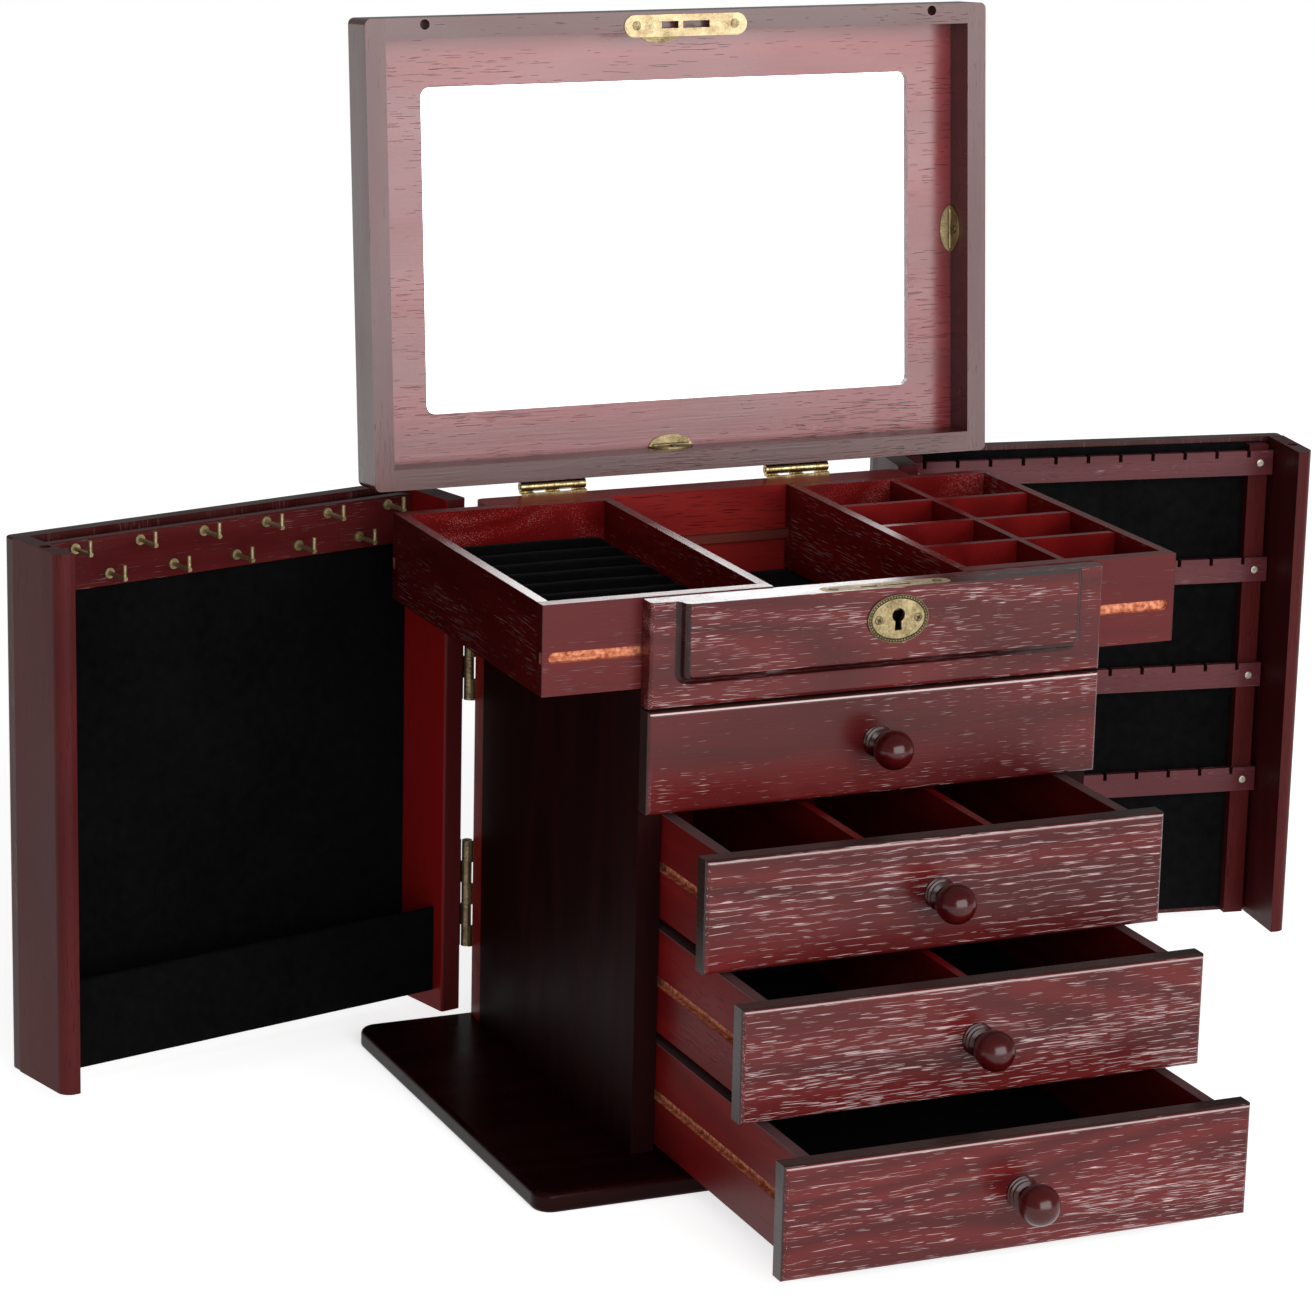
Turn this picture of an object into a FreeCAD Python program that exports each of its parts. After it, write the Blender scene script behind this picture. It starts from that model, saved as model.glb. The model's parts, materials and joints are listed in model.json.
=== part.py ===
import FreeCAD, Part
import math
import os

# Jewellery chest: a drawer carcass on a base board, with a mirrored lid, two hinged side
# wings, two small trays that slide out sideways, and four drawers.
# Millimetres, +Z up, the front faces -Y. The origin is the centre of the base's underside.
# The wings, lid, trays and drawers are built shut, then moved to the display pose.

os.makedirs("parts", exist_ok=True)
V = FreeCAD.Vector

# ---- driving dimensions ----
base_width, base_depth, base_thick = 340.0, 239.0, 9.5
base_corner, base_edge = 9.0, 2.5
base_step = 33.0                 # base standing forward of the carcass

body_width, body_depth = 224.0, 204.0
top_z = 268.4                    # top of trays, wings and back board
side_thick, back_thick, deck_thick = 11.0, 14.5, 6.0
side_top = 226.0

front_thick = 9.5                # drawer fronts and the lock panel
tall_front, short_front = 51.5, 47.2
drawer_pitch, lowest_front_z = 53.7, 10.8
short_front_z = 171.2
drawer_length, box_side, box_inset = 186.0, 5.5, 11.6
groove_high, groove_deep = 5.0, 3.0
runner_high, runner_out = 4.3, 3.4
drawer_pull = {2: 65.5, 3: 106.7, 4: 152.5}     # how far each drawer stands open

panel_z, panel_field = 219.4, 6.5
lock_x, key_x, keyhole_z = 0.5, 4.5, 253.6

tray_length, tray_z = 110.0, 227.0
tray_wall, tray_board, tray_gap = 5.0, 6.5, 1.2
tray_groove_z = 244.2
tray_pull = {"left": 47.8, "right": 43.8}

lid_width, lid_depth, lid_thick = 324.0, 222.0, 25.5
lid_rim, lid_z, lid_back = 9.9, 269.4, 0.7
frame_z, frame_thick = 18.7, 2.3
mirror_thick = 1.8
mirror_half_x, mirror_low, mirror_high = 128.3, 33.0, 188.4
lid_open = 94.87
lid_pin = (3.3, 271.8)           # behind the carcass back, height

wing_length, wing_depth, wing_gap = 223.0, 49.3, 1.2
wing_z0 = 11.2
wing_panel, wing_front, wing_rear = 7.8, 8.5, 10.9
wing_pin = (0.6, 3.4)            # outside the carcass side, behind the carcass back
wing_open = {"left": 75.8, "right": 81.6}

leaf_thick, pin_r = 0.6, 1.1

# ---- derived planes ----
base_front = -base_depth / 2
front_y = base_front + base_step          # front plane of the carcass
rear_y = front_y + body_depth
back_y = rear_y - back_thick              # front face of the back board
half = body_width / 2
lid_y1 = rear_y + lid_back                # rear face of the shut lid
lid_y0 = lid_y1 - lid_depth
lid_axis = V(0, rear_y + lid_pin[0], lid_pin[1])
free_x = half + wing_gap                  # open side of a shut wing
wing_y1 = rear_y + lid_back
wing_y0 = wing_y1 - wing_length
tray_y0 = front_y + 0.6
tray_y1 = back_y - 0.7


# ---- helpers ----
def box(x0, x1, y0, y1, z0, z1):
    return Part.makeBox(x1 - x0, y1 - y0, z1 - z0, V(x0, y0, z0))


def cyl(r, h, base, axis=V(0, 0, 1)):
    return Part.makeCylinder(r, h, base, axis)


def group(*shapes):
    return Part.makeCompound(list(shapes))


def along(edge, axis):
    """True for a straight edge parallel to the axis."""
    if edge.Curve.TypeId != "Part::GeomLine":
        return False
    way = edge.tangentAt(edge.FirstParameter)
    return abs(abs(way.dot(axis)) - 1) < 1e-6


def round_edges(shape, radius, keep):
    """Fillet the edges whose midpoint and edge pass the keep test."""
    picked = [e for e in shape.Edges if keep(e.CenterOfMass, e)]
    return shape.makeFillet(radius, picked)


def mirrored(shape):
    return shape.mirror(V(0, 0, 0), V(1, 0, 0))


def screw_head(centre, out, r=2.4, high=0.9):
    """A low domed screw head with a cross recess, facing along out."""
    head = cyl(r, high, centre, out)
    head = head.makeFillet(high * 0.6, [e for e in head.Edges if e.CenterOfMass.sub(
        centre + out * high).Length < 1e-3])
    across = out.cross(V(0.31, 0.83, 0.46))
    across.normalize()
    other = out.cross(across)
    top = centre + out * high
    slots = []
    for way in (across, other):
        side = out.cross(way)
        corner = top - way * (r * 0.6) - side * (r * 0.11) - out * (high * 0.5)
        bar = Part.makeBox(r * 1.2, r * 0.22, high, V(0, 0, 0))
        place = FreeCAD.Matrix(way.x, side.x, out.x, corner.x,
                               way.y, side.y, out.y, corner.y,
                               way.z, side.z, out.z, corner.z,
                               0, 0, 0, 1)
        slots.append(bar.transformGeometry(place))
    return head.cut(slots[0].fuse(slots[1]))


# ---- placing a moved group in the display pose ----
def lift_lid(shape):
    out = shape.copy()
    out.rotate(lid_axis, V(-1, 0, 0), lid_open)
    return out


def swing(shape, side):
    out = shape.copy()
    sign = -1 if side == "left" else 1
    pin = V(sign * (half + wing_pin[0]), rear_y + wing_pin[1], 0)
    out.rotate(pin, V(0, 0, sign), wing_open[side])
    return out


def slide(shape, dx=0.0, dy=0.0):
    out = shape.copy()
    out.translate(V(dx, dy, 0))
    return out


nodes = {}


# ---- carcass ----
def make_base():
    board = box(-base_width / 2, base_width / 2, base_front, -base_front, 0, base_thick)
    board = round_edges(board, base_corner, lambda c, e: along(e, V(0, 0, 1)))
    return round_edges(board, base_edge, lambda c, e: c.z > base_thick - 0.01 or c.z < 0.01)


def make_side(sign):
    side = box(half - side_thick, half, front_y, back_y, base_thick, side_top)
    return side if sign > 0 else mirrored(side)


def make_back():
    board = box(-half, half, back_y, rear_y, base_thick, top_z)
    return round_edges(board, 4.0, lambda c, e: along(e, V(0, 0, 1)) and c.y > rear_y - 0.01)


def drawer_front_z(number):
    """Bottom and top of a drawer front; drawer 1 is the uppermost."""
    if number == 1:
        return short_front_z, short_front_z + short_front
    low = lowest_front_z + (4 - number) * drawer_pitch
    return low, low + tall_front


def groove_z(number):
    low, high = drawer_front_z(number)
    return (low + high) / 2


def make_drawer_runners():
    strips = []
    for number in (1, 2, 3, 4):
        z = groove_z(number)
        inner = half - side_thick
        strip = box(inner - runner_out, inner, front_y + 10.5, back_y,
                    z - runner_high / 2, z + runner_high / 2)
        strips += [strip, mirrored(strip)]
    return group(*strips)


def make_tray_runners():
    z0, z1 = tray_groove_z - runner_high / 2, tray_groove_z + runner_high / 2
    reach = half - 6.0
    front = box(-reach, reach, front_y, front_y + runner_out, z0, z1)
    rear = box(-reach, reach, back_y - runner_out, back_y, z0, z1)
    return group(front, rear)


nodes["base_board"] = make_base()
nodes["carcass_side_left"] = make_side(-1)
nodes["carcass_side_right"] = make_side(1)
nodes["back_board"] = make_back()
nodes["deck_board"] = box(-half + side_thick, half - side_thick, front_y, back_y,
                          side_top - deck_thick, side_top)
nodes["drawer_runners"] = make_drawer_runners()
nodes["tray_runners"] = make_tray_runners()


# ---- lock panel ----
panel_top = top_z - 0.4
plank_y = front_y - front_thick           # face of the panel's border
field_y = plank_y - panel_field
field_half, field_low = 98.0, 232.4       # middle of the moulded step round the raised field
field_corner, ogee_r = 4.0, 3.2
lock_size = (34.0, 20.0, 7.0)             # lock case: width, height, depth
bolt_spans = ((-11.6, -3.9), (-0.5, 12.4))
bolt_deep = 2.4
plate_long, plate_deep, plate_thick = 64.0, 9.0, 1.0
lock_y = field_y + 5.2                    # middle of the top plate and the bolts


def lock_pocket(grow=0.0):
    wide, high, deep = lock_size
    return box(lock_x - wide / 2 - grow, lock_x + wide / 2 + grow,
               lock_y - deep / 2 - grow, lock_y + deep / 2 + grow,
               keyhole_z - high / 2 - grow, panel_top - plate_thick)


def rounded_plate(x0, x1, y0, y1, z0, z1):
    """A plate lying flat, with round ends."""
    r = (y1 - y0) / 2
    plate = box(x0 + r, x1 - r, y0, y1, z0, z1)
    for x in (x0 + r, x1 - r):
        plate = plate.fuse(cyl(r, z1 - z0, V(x, y0 + r, z0)))
    return plate.removeSplitter()


def keyhole(y0, y1, grow=0.0):
    """A keyhole through the boards, round above and flared below."""
    eye, foot = keyhole_z + 1.6, keyhole_z - 5.1 - grow
    round_part = cyl(3.0 + grow, y1 - y0, V(key_x, y0, eye), V(0, 1, 0))
    top, low = 1.2 + grow, 1.7 + grow
    outline = [V(key_x - top, y0, eye), V(key_x + top, y0, eye),
               V(key_x + low, y0, foot), V(key_x - low, y0, foot)]
    wire = Part.makePolygon(outline + outline[:1])
    return round_part.fuse(Part.Face(wire).extrude(V(0, y1 - y0, 0)))


def on_step(c, plane):
    """True for a point in a plane of constant y, on the outline of the raised field."""
    inside = abs(c.x) < field_half + 0.1 and c.z > field_low - 0.1
    return abs(c.y - plane) < 0.01 and inside and c.z < panel_top - 0.1


def make_front_panel():
    """A plank with a raised field; an S-shaped moulding runs round three sides of the field."""
    plank = box(-half, half, plank_y, front_y, panel_z, panel_top)
    plank = round_edges(plank, 2.2, lambda c, e: abs(c.y - plank_y) < 0.01 and c.z < panel_top - 0.1)
    field = box(-field_half, field_half, field_y, plank_y + 1, field_low, panel_top)
    field = round_edges(field, field_corner, lambda c, e: along(e, V(0, 1, 0))
                        and c.z < field_low + 0.1)
    panel = plank.fuse(field).removeSplitter()
    panel = round_edges(panel, ogee_r, lambda c, e: on_step(c, plank_y))
    panel = round_edges(panel, ogee_r, lambda c, e: on_step(c, field_y))
    plate_space = rounded_plate(lock_x - plate_long / 2, lock_x + plate_long / 2,
                                lock_y - plate_deep / 2, lock_y + plate_deep / 2,
                                panel_top - plate_thick, panel_top + 1)
    return panel.cut(lock_pocket(0.3)).cut(keyhole(field_y - 1, lock_y)).cut(plate_space)


plate_a, plate_b = 14.9, 11.1             # half width and half height of the oval plate


def make_escutcheon():
    """Oval plate with a raised rim, lying on the panel's field."""

    def oval(rx, ry, y0, y1):
        ring = Part.Ellipse(V(key_x, y0, keyhole_z), rx, ry)
        ring.Axis = V(0, -1, 0)
        ring.XAxis = V(1, 0, 0)
        face = Part.Face(Part.Wire(ring.toShape()))
        return face.extrude(V(0, y1 - y0, 0))

    plate = oval(plate_a, plate_b, field_y - 0.8, field_y)
    hollow = oval(plate_a - 1.3, plate_b - 1.3, field_y - 1.5, field_y)
    rim = oval(plate_a, plate_b, field_y - 1.4, field_y - 0.8).cut(hollow)
    return plate.fuse(rim).cut(keyhole(field_y - 2, field_y + 1)).removeSplitter()


def bolt_slots(z0, z1, grow):
    slots = [box(a - grow, b + grow, lock_y - bolt_deep / 2 - grow, lock_y + bolt_deep / 2 + grow,
                 z0, z1) for a, b in bolt_spans]
    return slots[0].fuse(slots[1])


bolt_low, bolt_foot = keyhole_z + 2.6, 3.0


def make_lock_case():
    case = lock_pocket()
    hollow = box(lock_x - lock_size[0] / 2 + 1, lock_x + lock_size[0] / 2 - 1,
                 lock_y - bolt_deep / 2 - 0.2, lock_y + bolt_deep / 2 + 0.2,
                 bolt_low - 0.4, panel_top - plate_thick + 0.01)
    plate = rounded_plate(lock_x - plate_long / 2, lock_x + plate_long / 2,
                          lock_y - plate_deep / 2, lock_y + plate_deep / 2,
                          panel_top - plate_thick, panel_top)
    plate = plate.cut(bolt_slots(panel_top - 2, panel_top + 1, 0.25))
    case = case.cut(hollow).cut(keyhole(field_y - 2, lock_y, 0.2))
    return case.fuse(plate)


def make_lock_bolt():
    """Two tongues on one bar; they rise through the plate into the lid's strike plate."""
    y0, y1 = lock_y - bolt_deep / 2, lock_y + bolt_deep / 2
    bar = box(bolt_spans[0][0], bolt_spans[1][1], y0, y1, bolt_low, bolt_low + bolt_foot)
    for a, b in bolt_spans:
        bar = bar.fuse(box(a, b, y0, y1, bolt_low, panel_top - 0.6))
    return bar.removeSplitter()


def make_lock_screws():
    front = [screw_head(V(key_x + dx, field_y - 0.8, keyhole_z), V(0, -1, 0), 2.0, 0.8)
             for dx in (-9.75, 9.75)]
    top = [screw_head(V(lock_x + dx, lock_y, panel_top), V(0, 0, 1), 2.2, 0.35)
           for dx in (-25.5, 25.5)]
    return group(*(front + top))


nodes["front_panel"] = make_front_panel()
nodes["escutcheon"] = make_escutcheon()
nodes["lock_case"] = make_lock_case()
nodes["lock_bolt"] = make_lock_bolt()
nodes["lock_screws"] = make_lock_screws()


# ---- drawers ----
knob_ball_r, knob_reach = 9.1, 16.5
knob_rise = {1: 1.0}                      # the uppermost knob sits above the middle of its front
divider_half = 2.1


def make_knob(x, y, z):
    """A turned knob: flanged foot, ring, thin neck and ball, its axis along -Y."""
    foot = [(7.4, 0.0), (7.4, 1.2), (6.7, 1.6), (6.7, 2.1), (7.2, 2.5), (7.2, 3.2), (6.2, 3.7),
            (6.2, 4.2), (6.6, 4.6), (6.6, 5.2), (4.9, 6.2)]
    neck_r = 4.6
    start = -math.sqrt(knob_ball_r ** 2 - neck_r ** 2)
    points = [V(r, 0, -d) for r, d in foot]
    edges = [Part.LineSegment(a, b).toShape() for a, b in zip(points, points[1:])]
    join = V(neck_r, 0, -(knob_reach + start))
    edges.append(Part.LineSegment(points[-1], join).toShape())
    ball = Part.Arc(join, V(knob_ball_r, 0, -knob_reach), V(0, 0, -(knob_reach + knob_ball_r)))
    edges.append(ball.toShape())
    edges.append(Part.LineSegment(V(0, 0, -(knob_reach + knob_ball_r)), V(0, 0, 0)).toShape())
    edges.append(Part.LineSegment(V(0, 0, 0), points[0]).toShape())
    knob = Part.Face(Part.Wire(edges)).revolve(V(0, 0, 0), V(0, 0, 1), 360)
    knob = Part.Solid(Part.Shell(knob.Faces)) if not knob.Solids else knob.Solids[0]
    knob.rotate(V(0, 0, 0), V(1, 0, 0), -90)
    knob.translate(V(x, y, z))
    if knob.BoundBox.YMin > y - 1:
        knob = knob.mirror(V(x, y, z), V(0, 1, 0))
    return knob


def make_drawer(number, dividers=0):
    low, high = drawer_front_z(number)
    dy = -drawer_pull.get(number, 0.0)
    outer = half - box_inset
    inner = outer - box_side
    z0, z1 = low + 2.0, high - 1.2
    y0, y1 = front_y, front_y + drawer_length
    front = box(-half, half, front_y - front_thick, front_y, low, high)
    front = round_edges(front, 2.2, lambda c, e: c.y < front_y - front_thick + 0.01)
    side = box(inner, outer, y0, y1, z0, z1)
    mid = groove_z(number)
    groove = box(outer - groove_deep, outer + 1, y0 + 6.0, y1 + 1,
                 mid - groove_high / 2, mid + groove_high / 2)
    groove = round_edges(groove, groove_high / 2 - 0.05,
                         lambda c, e: along(e, V(1, 0, 0)) and c.y < y0 + 7)
    side = side.cut(groove)
    rear = box(-inner, inner, y1 - box_side, y1, z0, z1)
    bottom = box(-inner, inner, y0, y1 - box_side, z0 + 1.0, z0 + 4.5)
    name = "drawer_%d_" % number
    nodes[name + "front"] = slide(front, dy=dy)
    nodes[name + "box"] = slide(group(side, mirrored(side), rear), dy=dy)
    nodes[name + "bottom"] = slide(bottom, dy=dy)
    knob_z = (low + high) / 2 + knob_rise.get(number, 0.0)
    nodes[name + "knob"] = make_knob(0, front_y - front_thick + dy, knob_z)
    if dividers:
        walls = []
        pitch = 2 * inner / (dividers + 1)
        for i in range(dividers):
            x = -inner + pitch * (i + 1)
            walls.append(box(x - divider_half, x + divider_half, y0, y1 - box_side,
                             z0 + 4.5, z1 - 1.0))
        nodes[name + "dividers"] = slide(group(*walls), dy=dy)


make_drawer(1)
make_drawer(2, dividers=2)
make_drawer(3, dividers=1)
make_drawer(4)


# ---- sliding trays ----
roll_count, roll_top = 9, 254.0
floor_z, floor_thick = tray_z + 1.5, 3.0
cross_walls, grid_wall = 3, 3.6


def make_tray_box(x0, x1, outer_left):
    """Four boards; the long front and rear boards are grooved for the tray runners."""
    z0, z1 = tray_z, top_z
    mid = tray_groove_z
    boards = []
    for y0, y1, face in ((tray_y0, tray_y0 + tray_board, -1), (tray_y1 - tray_board, tray_y1, 1)):
        board = box(x0, x1, y0, y1, z0, z1)
        stop = 3.2
        gx0, gx1 = (x0 + stop, x1 + 1) if outer_left else (x0 - 1, x1 - stop)
        gy0, gy1 = (y0 - 1, y0 + groove_deep) if face < 0 else (y1 - groove_deep, y1 + 1)
        groove = box(gx0, gx1, gy0, gy1, mid - groove_high / 2, mid + groove_high / 2)
        end_x = gx0 if outer_left else gx1
        groove = round_edges(groove, groove_high / 2 - 0.05,
                             lambda c, e: along(e, V(0, 1, 0)) and abs(c.x - end_x) < 0.01)
        boards.append(board.cut(groove))
    for a, b in ((x0, x0 + tray_wall), (x1 - tray_wall, x1)):
        boards.append(box(a, b, tray_y0 + tray_board, tray_y1 - tray_board, z0, z1))
    return group(*boards)


def tray_inside(x0, x1):
    return x0 + tray_wall, x1 - tray_wall, tray_y0 + tray_board, tray_y1 - tray_board


def make_ring_rolls(x0, x1):
    """Round-topped padded rolls side by side; rings stand in the slots between them."""
    ix0, ix1, iy0, iy1 = tray_inside(x0, x1)
    pitch = (iy1 - iy0) / roll_count
    r = pitch / 2 - 0.35
    low = floor_z + floor_thick
    rolls = []
    for i in range(roll_count):
        y = iy0 + pitch * (i + 0.5)
        roll = box(ix0 + 0.8, ix1 - 0.8, y - r, y + r, low, roll_top - r)
        top = cyl(r, ix1 - ix0 - 1.6, V(ix0 + 0.8, y, roll_top - r), V(1, 0, 0))
        above_floor = box(ix0, ix1, y - r - 1, y + r + 1, low, roll_top + 1)
        rolls.append(roll.fuse(top).removeSplitter().common(above_floor))
    return group(*rolls)


def make_grid(x0, x1):
    """One long wall with short walls each side of it, forming two rows of four."""
    ix0, ix1, iy0, iy1 = tray_inside(x0, x1)
    low, high = floor_z + floor_thick, top_z - 0.6
    mid = (ix0 + ix1) / 2
    walls = [box(mid - grid_wall / 2, mid + grid_wall / 2, iy0, iy1, low, high)]
    pitch = (iy1 - iy0) / (cross_walls + 1)
    for i in range(cross_walls):
        y = iy0 + pitch * (i + 1)
        for a, b in ((ix0, mid - grid_wall / 2), (mid + grid_wall / 2, ix1)):
            walls.append(box(a, b, y - grid_wall / 2, y + grid_wall / 2, low, high))
    return group(*walls)


def make_trays():
    left = (-tray_gap - tray_length, -tray_gap)
    right = (tray_gap, tray_gap + tray_length)
    for side, (x0, x1) in (("left", left), ("right", right)):
        ix0, ix1, iy0, iy1 = tray_inside(x0, x1)
        dx = -tray_pull["left"] if side == "left" else tray_pull["right"]
        floor = box(ix0, ix1, iy0, iy1, floor_z, floor_z + floor_thick)
        nodes[side + "_tray_box"] = slide(make_tray_box(x0, x1, side == "left"), dx)
        nodes[side + "_tray_floor"] = slide(floor, dx)
    nodes["ring_rolls"] = slide(make_ring_rolls(*left), -tray_pull["left"])
    nodes["right_tray_dividers"] = slide(make_grid(*right), tray_pull["right"])


make_trays()


# ---- butt hinges: each leaf lies on a rear face and is cranked back to the barrel ----
bore_r = pin_r + 0.05
knuckle_gap = 0.12
wing_hinge_long, wing_hinge_z, wing_barrel_r = 54.0, (43.5, 168.5), 2.5
lid_hinge_long, lid_hinge_x, lid_barrel_r = 33.8, (-71.0, 58.5), 2.35


def knuckle_spans(long, fixed):
    """The fixed half owns knuckles 1, 3 and 5, the moving half knuckles 2 and 4."""
    pitch = long / 5
    return [(i * pitch + knuckle_gap / 2, (i + 1) * pitch - knuckle_gap / 2)
            for i in ((0, 2, 4) if fixed else (1, 3))]


def wing_hinges(fixed):
    """Both hinges of the left wing, shut."""
    out = []
    x_pin, y_pin = -half - wing_pin[0], rear_y + wing_pin[1]
    for low in wing_hinge_z:
        if fixed:
            plate = box(-half + 4, -half + 15, rear_y, rear_y + leaf_thick, low, low + wing_hinge_long)
            arm_x, arm_y = (x_pin, -half + 4.2), (rear_y + 0.1, rear_y + 1.2)
        else:
            plate = box(x_pin - 14.4, x_pin - 1.9, wing_y1, wing_y1 + leaf_thick,
                        low, low + wing_hinge_long)
            arm_x, arm_y = (x_pin - 2.1, x_pin), (wing_y1 + 0.1, wing_y1 + 1.2)
        for a, b in knuckle_spans(wing_hinge_long, fixed):
            plate = plate.fuse(box(arm_x[0], arm_x[1], arm_y[0], arm_y[1], low + a, low + b))
            plate = plate.fuse(cyl(wing_barrel_r, b - a, V(x_pin, y_pin, low + a)))
        bore = cyl(bore_r, wing_hinge_long + 2, V(x_pin, y_pin, low - 1))
        out.append(plate.cut(bore).removeSplitter())
        if fixed:
            out.append(cyl(pin_r, wing_hinge_long + 0.8, V(x_pin, y_pin, low - 0.4)))
    return out


def lid_hinges(fixed):
    """Both lid hinges, shut."""
    out = []
    y_pin, z_pin = lid_axis.y, lid_axis.z
    arm_low, arm_high = z_pin - 3.2, z_pin - 2.5
    for x in lid_hinge_x:
        left = x - lid_hinge_long / 2
        right = left + lid_hinge_long
        if fixed:
            leaf = box(left, right, rear_y, rear_y + leaf_thick, top_z - 13.4, arm_high - 0.1)
        else:
            leaf = box(left, right, lid_y1, lid_y1 + leaf_thick - 0.1, z_pin + 2.5, z_pin + 16.2)
        for start, stop in knuckle_spans(lid_hinge_long, fixed):
            a, b = left + start, left + stop
            if fixed:
                arm = box(a, b, rear_y, y_pin + 0.6, arm_low, arm_high)
                arm = arm.fuse(box(a, b, y_pin - 0.6, y_pin + 0.6, arm_low, z_pin - 1.4))
            else:
                arm = box(a, b, lid_y1, y_pin + 0.7, z_pin + 2.1, z_pin + 3.2)
            leaf = leaf.fuse(arm).fuse(cyl(lid_barrel_r, b - a, V(a, y_pin, z_pin), V(1, 0, 0)))
        bore = cyl(bore_r, lid_hinge_long + 2, V(left - 1, y_pin, z_pin), V(1, 0, 0))
        out.append(leaf.cut(bore).removeSplitter())
        if fixed:
            out.append(cyl(pin_r, lid_hinge_long + 0.8, V(left - 0.4, y_pin, z_pin), V(1, 0, 0)))
    return out


left_fixed = wing_hinges(True)
nodes["wing_hinge_fixed_leaves"] = group(*(left_fixed + [mirrored(s) for s in left_fixed]))
nodes["lid_hinge_fixed_leaves"] = group(*lid_hinges(True))
left_moving = group(*wing_hinges(False))
nodes["left_wing_hinge_leaves"] = swing(left_moving, "left")
nodes["right_wing_hinge_leaves"] = swing(mirrored(left_moving), "right")
nodes["lid_hinge_moving_leaves"] = lift_lid(group(*lid_hinges(False)))


# ---- lid ----
peg_r, peg_deep = 2.4, 8.0
peg_x = 132.4                             # holes in the lid rim meet those in the wing tops
peg_y = wing_y0 + wing_front / 2


def make_lid_rim():
    """Four rim boards; the outer corners and top edge are eased."""
    hw = lid_width / 2
    z0, z1 = lid_z, lid_z + lid_thick
    whole = box(-hw, hw, lid_y0, lid_y1, z0, z1)
    whole = round_edges(whole, 3.0, lambda c, e: along(e, V(0, 0, 1)))
    whole = round_edges(whole, 2.0, lambda c, e: c.z > z1 - 0.01)
    hollow = box(-hw + lid_rim, hw - lid_rim, lid_y0 + lid_rim, lid_y1 - lid_rim, z0 - 1, z1 + 1)
    ring = whole.cut(hollow)
    for x in (-peg_x, peg_x):
        ring = ring.cut(cyl(peg_r, peg_deep, V(x, peg_y, z0 - 0.01)))
    front = ring.common(box(-hw, hw, lid_y0, lid_y0 + lid_rim, z0, z1))
    rear = ring.common(box(-hw, hw, lid_y1 - lid_rim, lid_y1, z0, z1))
    left = ring.common(box(-hw, -hw + lid_rim, lid_y0 + lid_rim, lid_y1 - lid_rim, z0, z1))
    return group(front, rear, left, mirrored(left))


def make_mirror_frame():
    """Four flat rails round the glass, with rounded inner corners."""
    hw = lid_width / 2 - lid_rim
    z0, z1 = lid_z + frame_z, lid_z + frame_z + frame_thick
    y_low, y_high = lid_y1 - mirror_high, lid_y1 - mirror_low
    window = box(-mirror_half_x, mirror_half_x, y_low, y_high, z0 - 1, z1 + 1)
    window = round_edges(window, 4.5, lambda c, e: along(e, V(0, 0, 1)))
    rear = box(-hw, hw, y_high - 4.5, lid_y1 - lid_rim, z0, z1).cut(window)
    front = box(-hw, hw, lid_y0 + lid_rim, y_low + 4.5, z0, z1).cut(window)
    left = box(-hw, -mirror_half_x, y_low + 4.5, y_high - 4.5, z0, z1)
    return group(front, rear, left, mirrored(left))


clip_half, clip_thick = 11.5, 0.6
clip_flat, clip_wall = 6.0, 9.3           # reach over the frame and down the rim
bead_r, bead_half = 0.9, 9.5


def lid_clip_sites():
    """Points on the four recess walls and the direction in from the wall."""
    hw = lid_width / 2 - lid_rim
    return [(V(-5.2, lid_y0 + lid_rim, 0), V(0, 1, 0)), (V(-1.9, lid_y1 - lid_rim, 0), V(0, -1, 0)),
            (V(-hw, lid_y1 - 116.0, 0), V(1, 0, 0)), (V(hw, lid_y1 - 110.0, 0), V(-1, 0, 0))]


def half_oval(site, side, out, reach, normal):
    """A thin half ellipse standing on the line through the site, reaching along out."""
    ends = [site + side * clip_half, site - side * clip_half]
    if reach > clip_half:
        curve = Part.Ellipse(site + out * reach, ends[0], site)
    else:
        curve = Part.Ellipse(ends[0], site + out * reach, site)
    disc = Part.Face(Part.Wire(curve.toShape())).extrude(normal * clip_thick)
    corner = site - side * (clip_half + 1) - normal * 1
    keep = Part.makePolygon([corner, corner + side * (2 * clip_half + 2),
                             corner + side * (2 * clip_half + 2) + out * (reach + 1),
                             corner + out * (reach + 1), corner])
    return disc.common(Part.Face(keep).extrude(normal * 3))


def make_clips():
    """Ovals bent square across the middle, half on the rim and half over the frame, with a
    bead along the fold."""
    clips = []
    down = V(0, 0, -1)
    for site, inward in lid_clip_sites():
        site = V(site.x, site.y, lid_z + frame_z)
        side = inward.cross(V(0, 0, 1))
        flat = half_oval(site, side, inward, clip_flat, down)
        wall = half_oval(site, side, down, clip_wall, inward)
        bead = cyl(bead_r, 2 * bead_half, site + (inward + down) * bead_r - side * bead_half, side)
        clips.append(flat.fuse(wall).fuse(bead).removeSplitter())
    return group(*clips)


strike_y = (lock_y - 4.9, lock_y + 5.6)
strike_ends = (lock_x - 31.9, lock_x + 32.0)


def make_strike_plate():
    """Long plate on the rim's underside, slotted for the bolt's two tongues."""
    plate = rounded_plate(strike_ends[0], strike_ends[1], strike_y[0], strike_y[1],
                          lid_z - 0.6, lid_z)
    return plate.cut(bolt_slots(lid_z - 2, lid_z + 1, 0.5))


def make_lid_screws():
    heads = []
    z = lid_z + frame_z
    for site, inward in lid_clip_sites():
        heads.append(screw_head(V(site.x, site.y, z - 5.0) + inward * clip_thick, inward, 2.0, 0.8))
    for dx in (-25.6, 25.6):
        heads.append(screw_head(V(lock_x + dx, lock_y + 0.1, lid_z - 0.6), V(0, 0, -1), 2.2, 0.3))
    return group(*heads)


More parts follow.
